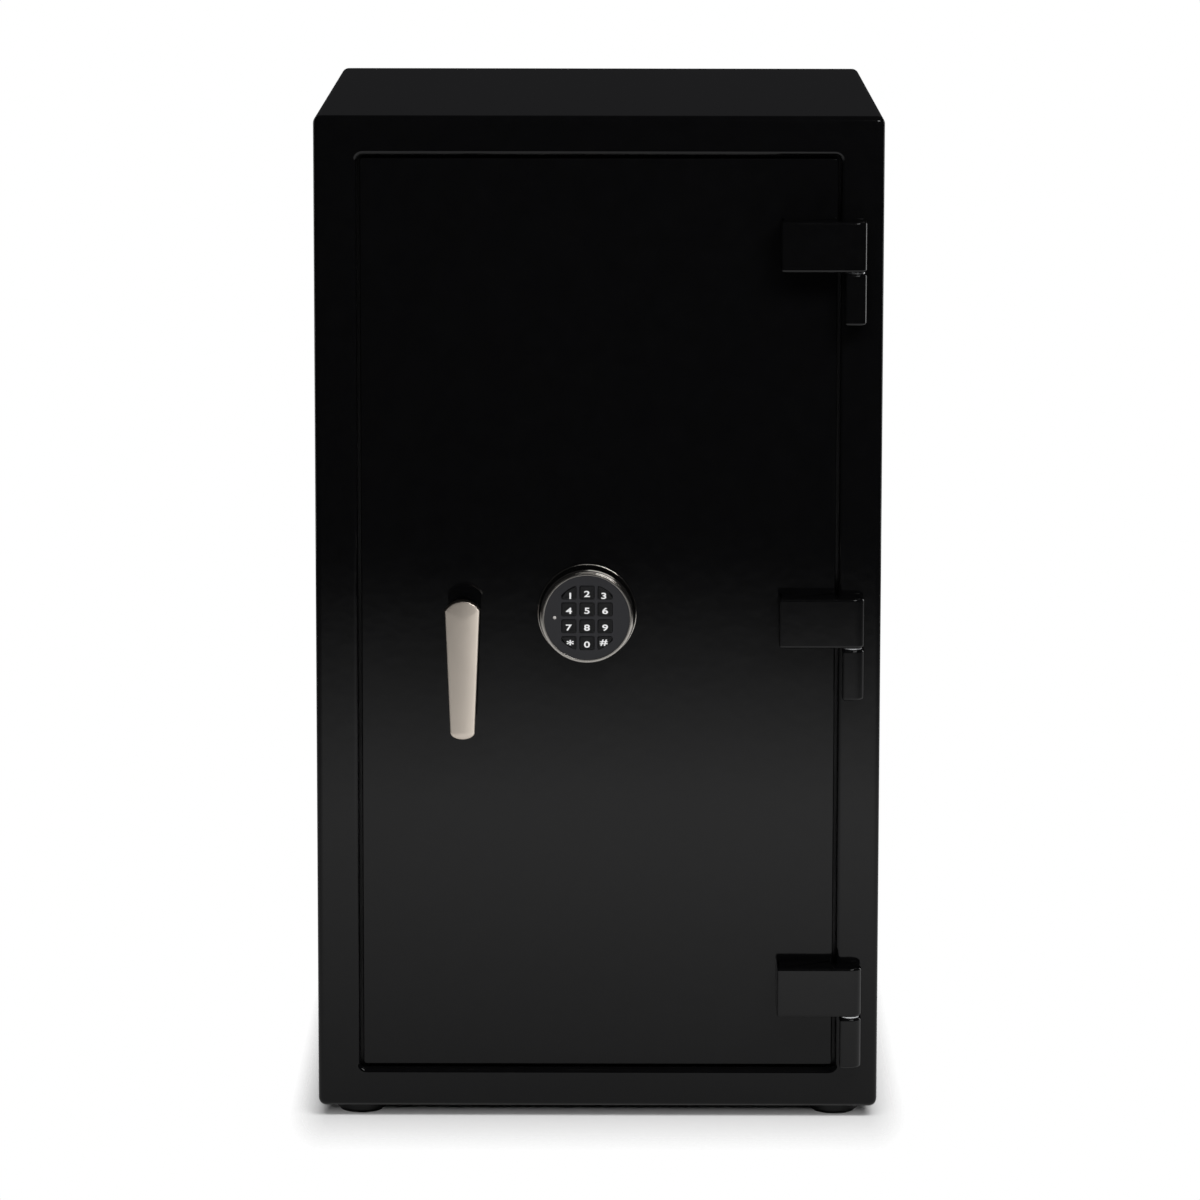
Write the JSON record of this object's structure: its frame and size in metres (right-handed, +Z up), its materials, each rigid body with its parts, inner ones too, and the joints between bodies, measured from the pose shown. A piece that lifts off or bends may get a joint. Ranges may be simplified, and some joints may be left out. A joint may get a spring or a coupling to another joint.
{
  "type": "gun safe",
  "caption": "Compact upright gun safe with a gloss black body, a right-hinged door, a lever handle that throws the locking bolts and a round electronic keypad.",
  "frame": {"origin": "middle of the footprint with the handle included, at the foot of the feet", "axes": "+Z up, -Y out of the door's face, +X to the right seen from the front (hinge side)"},
  "size_m": [0.508, 0.606, 0.914],
  "materials": {
    "body_gloss_black": "piano-gloss black enamel on steel",
    "frame_black": "satin black paint on bent steel",
    "hinge_black": "gloss black enamel on steel",
    "fire_board": "pale mineral board",
    "lining_fabric": "short charcoal pile",
    "shelf_fabric": "board wrapped in charcoal pile",
    "pad_foam": "dense closed-cell foam",
    "foot_rubber": "matt black rubber",
    "bright_steel": "ground and polished steel",
    "zinc_steel": "zinc-plated steel",
    "plate_steel": "plain plate steel",
    "seal_strip": "graphite seal strip",
    "lever_nickel": "satin brushed nickel",
    "hub_nickel": "polished dark nickel",
    "keypad_nickel": "satin nickel plate",
    "keypad_plastic": "fine matt dark-grey plastic",
    "key_rubber": "soft black rubber",
    "led_lens": "frosted lens",
    "brass": "turned brass",
    "circuit_board": "green circuit board",
    "battery_case": "plain battery case",
    "lock_casting": "die-cast case",
    "cable_black": "black cable sheath"
  },
  "bodies": {
    "cabinet": {"outer_shell": "body_gloss_black", "jamb_sides": "frame_black", "jamb_ends": "frame_black", "board_left": "fire_board", "board_right": "fire_board", "board_top": "fire_board", "board_bottom": "fire_board", "board_back": "fire_board", "lining": "lining_fabric", "feet": "foot_rubber", "hinge_knuckles": "hinge_black", "hinge_pins": "bright_steel", "hinge_washers": "bright_steel", "divider": "shelf_fabric", "top_shelf": "shelf_fabric", "small_shelves": "shelf_fabric", "shelf_cleats": "zinc_steel", "barrel_rest": "shelf_fabric", "stock_pad": "pad_foam"},
    "door": {"door_plate": "body_gloss_black", "door_seal": "seal_strip", "door_board": "fire_board", "door_pan": "frame_black", "bolt_plate": "plate_steel", "drill_plate": "plate_steel", "bar_guides": "zinc_steel", "dead_bolts": "bright_steel", "door_cover": "lining_fabric", "cover_screws": "bright_steel", "hinge_straps": "hinge_black", "spindle_bush": "brass", "lock_case": "lock_casting", "lock_cable": "cable_black", "keypad_base": "keypad_nickel", "keypad_housing": "keypad_nickel", "keypad_face": "keypad_plastic", "keypad_led": "led_lens", "keypad_circuit": "circuit_board", "keypad_battery": "battery_case"},
    "handle": {"lever": "lever_nickel", "handle_hub": "hub_nickel", "spindle": "bright_steel", "pinion": "brass"},
    "side_boltwork": {"side_bar": "zinc_steel", "side_bolts": "bright_steel"},
    "top_boltwork": {"top_bolt": "bright_steel"},
    "bottom_boltwork": {"bottom_bolt": "bright_steel"},
    "lock_latch": {"lock_bolt": "brass"},
    "key_1": {"key_1": "key_rubber"},
    "key_2": {"key_2": "key_rubber"},
    "key_3": {"key_3": "key_rubber"},
    "key_4": {"key_4": "key_rubber"},
    "key_5": {"key_5": "key_rubber"},
    "key_6": {"key_6": "key_rubber"},
    "key_7": {"key_7": "key_rubber"},
    "key_8": {"key_8": "key_rubber"},
    "key_9": {"key_9": "key_rubber"},
    "key_star": {"key_star": "key_rubber"},
    "key_0": {"key_0": "key_rubber"},
    "key_hash": {"key_hash": "key_rubber"}
  },
  "joints": [
    {"name": "door_swing", "type": "hinge", "parent": "cabinet", "child": "door", "pos_m": [0.228, -0.2715, 0.011], "axis": [0, 0, 1], "range_deg": [0, 170]},
    {"name": "handle_turn", "type": "hinge", "parent": "door", "child": "handle", "pos_m": [-0.121, -0.257, 0.4665], "axis": [0, 1, 0], "range_deg": [0, 90]},
    {"name": "side_bolts_throw", "type": "slide", "parent": "door", "child": "side_boltwork", "axis": [-1, 0, 0], "range_m": [0, 0.0346]},
    {"name": "top_bolt_throw", "type": "slide", "parent": "door", "child": "top_boltwork", "axis": [0, 0, 1], "range_m": [0, 0.0346]},
    {"name": "bottom_bolt_throw", "type": "slide", "parent": "door", "child": "bottom_boltwork", "axis": [0, 0, -1], "range_m": [0, 0.0346]},
    {"name": "lock_throw", "type": "slide", "parent": "door", "child": "lock_latch", "axis": [0, 0, 1], "range_m": [0, 0.009]},
    {"name": "key_1_press", "type": "slide", "parent": "door", "child": "key_1", "axis": [0, 1, 0], "range_m": [0, 0.001], "stiffness_N_per_m": 400},
    {"name": "key_2_press", "type": "slide", "parent": "door", "child": "key_2", "axis": [0, 1, 0], "range_m": [0, 0.001], "stiffness_N_per_m": 400},
    {"name": "key_3_press", "type": "slide", "parent": "door", "child": "key_3", "axis": [0, 1, 0], "range_m": [0, 0.001], "stiffness_N_per_m": 400},
    {"name": "key_4_press", "type": "slide", "parent": "door", "child": "key_4", "axis": [0, 1, 0], "range_m": [0, 0.001], "stiffness_N_per_m": 400},
    {"name": "key_5_press", "type": "slide", "parent": "door", "child": "key_5", "axis": [0, 1, 0], "range_m": [0, 0.001], "stiffness_N_per_m": 400},
    {"name": "key_6_press", "type": "slide", "parent": "door", "child": "key_6", "axis": [0, 1, 0], "range_m": [0, 0.001], "stiffness_N_per_m": 400},
    {"name": "key_7_press", "type": "slide", "parent": "door", "child": "key_7", "axis": [0, 1, 0], "range_m": [0, 0.001], "stiffness_N_per_m": 400},
    {"name": "key_8_press", "type": "slide", "parent": "door", "child": "key_8", "axis": [0, 1, 0], "range_m": [0, 0.001], "stiffness_N_per_m": 400},
    {"name": "key_9_press", "type": "slide", "parent": "door", "child": "key_9", "axis": [0, 1, 0], "range_m": [0, 0.001], "stiffness_N_per_m": 400},
    {"name": "key_star_press", "type": "slide", "parent": "door", "child": "key_star", "axis": [0, 1, 0], "range_m": [0, 0.001], "stiffness_N_per_m": 400},
    {"name": "key_0_press", "type": "slide", "parent": "door", "child": "key_0", "axis": [0, 1, 0], "range_m": [0, 0.001], "stiffness_N_per_m": 400},
    {"name": "key_hash_press", "type": "slide", "parent": "door", "child": "key_hash", "axis": [0, 1, 0], "range_m": [0, 0.001], "stiffness_N_per_m": 400}
  ],
  "couplings": [
    {"joint": "side_bolts_throw", "follows": "handle_turn", "m_per_rad": 0.022},
    {"joint": "top_bolt_throw", "follows": "handle_turn", "m_per_rad": 0.022},
    {"joint": "bottom_bolt_throw", "follows": "handle_turn", "m_per_rad": 0.022}
  ]
}
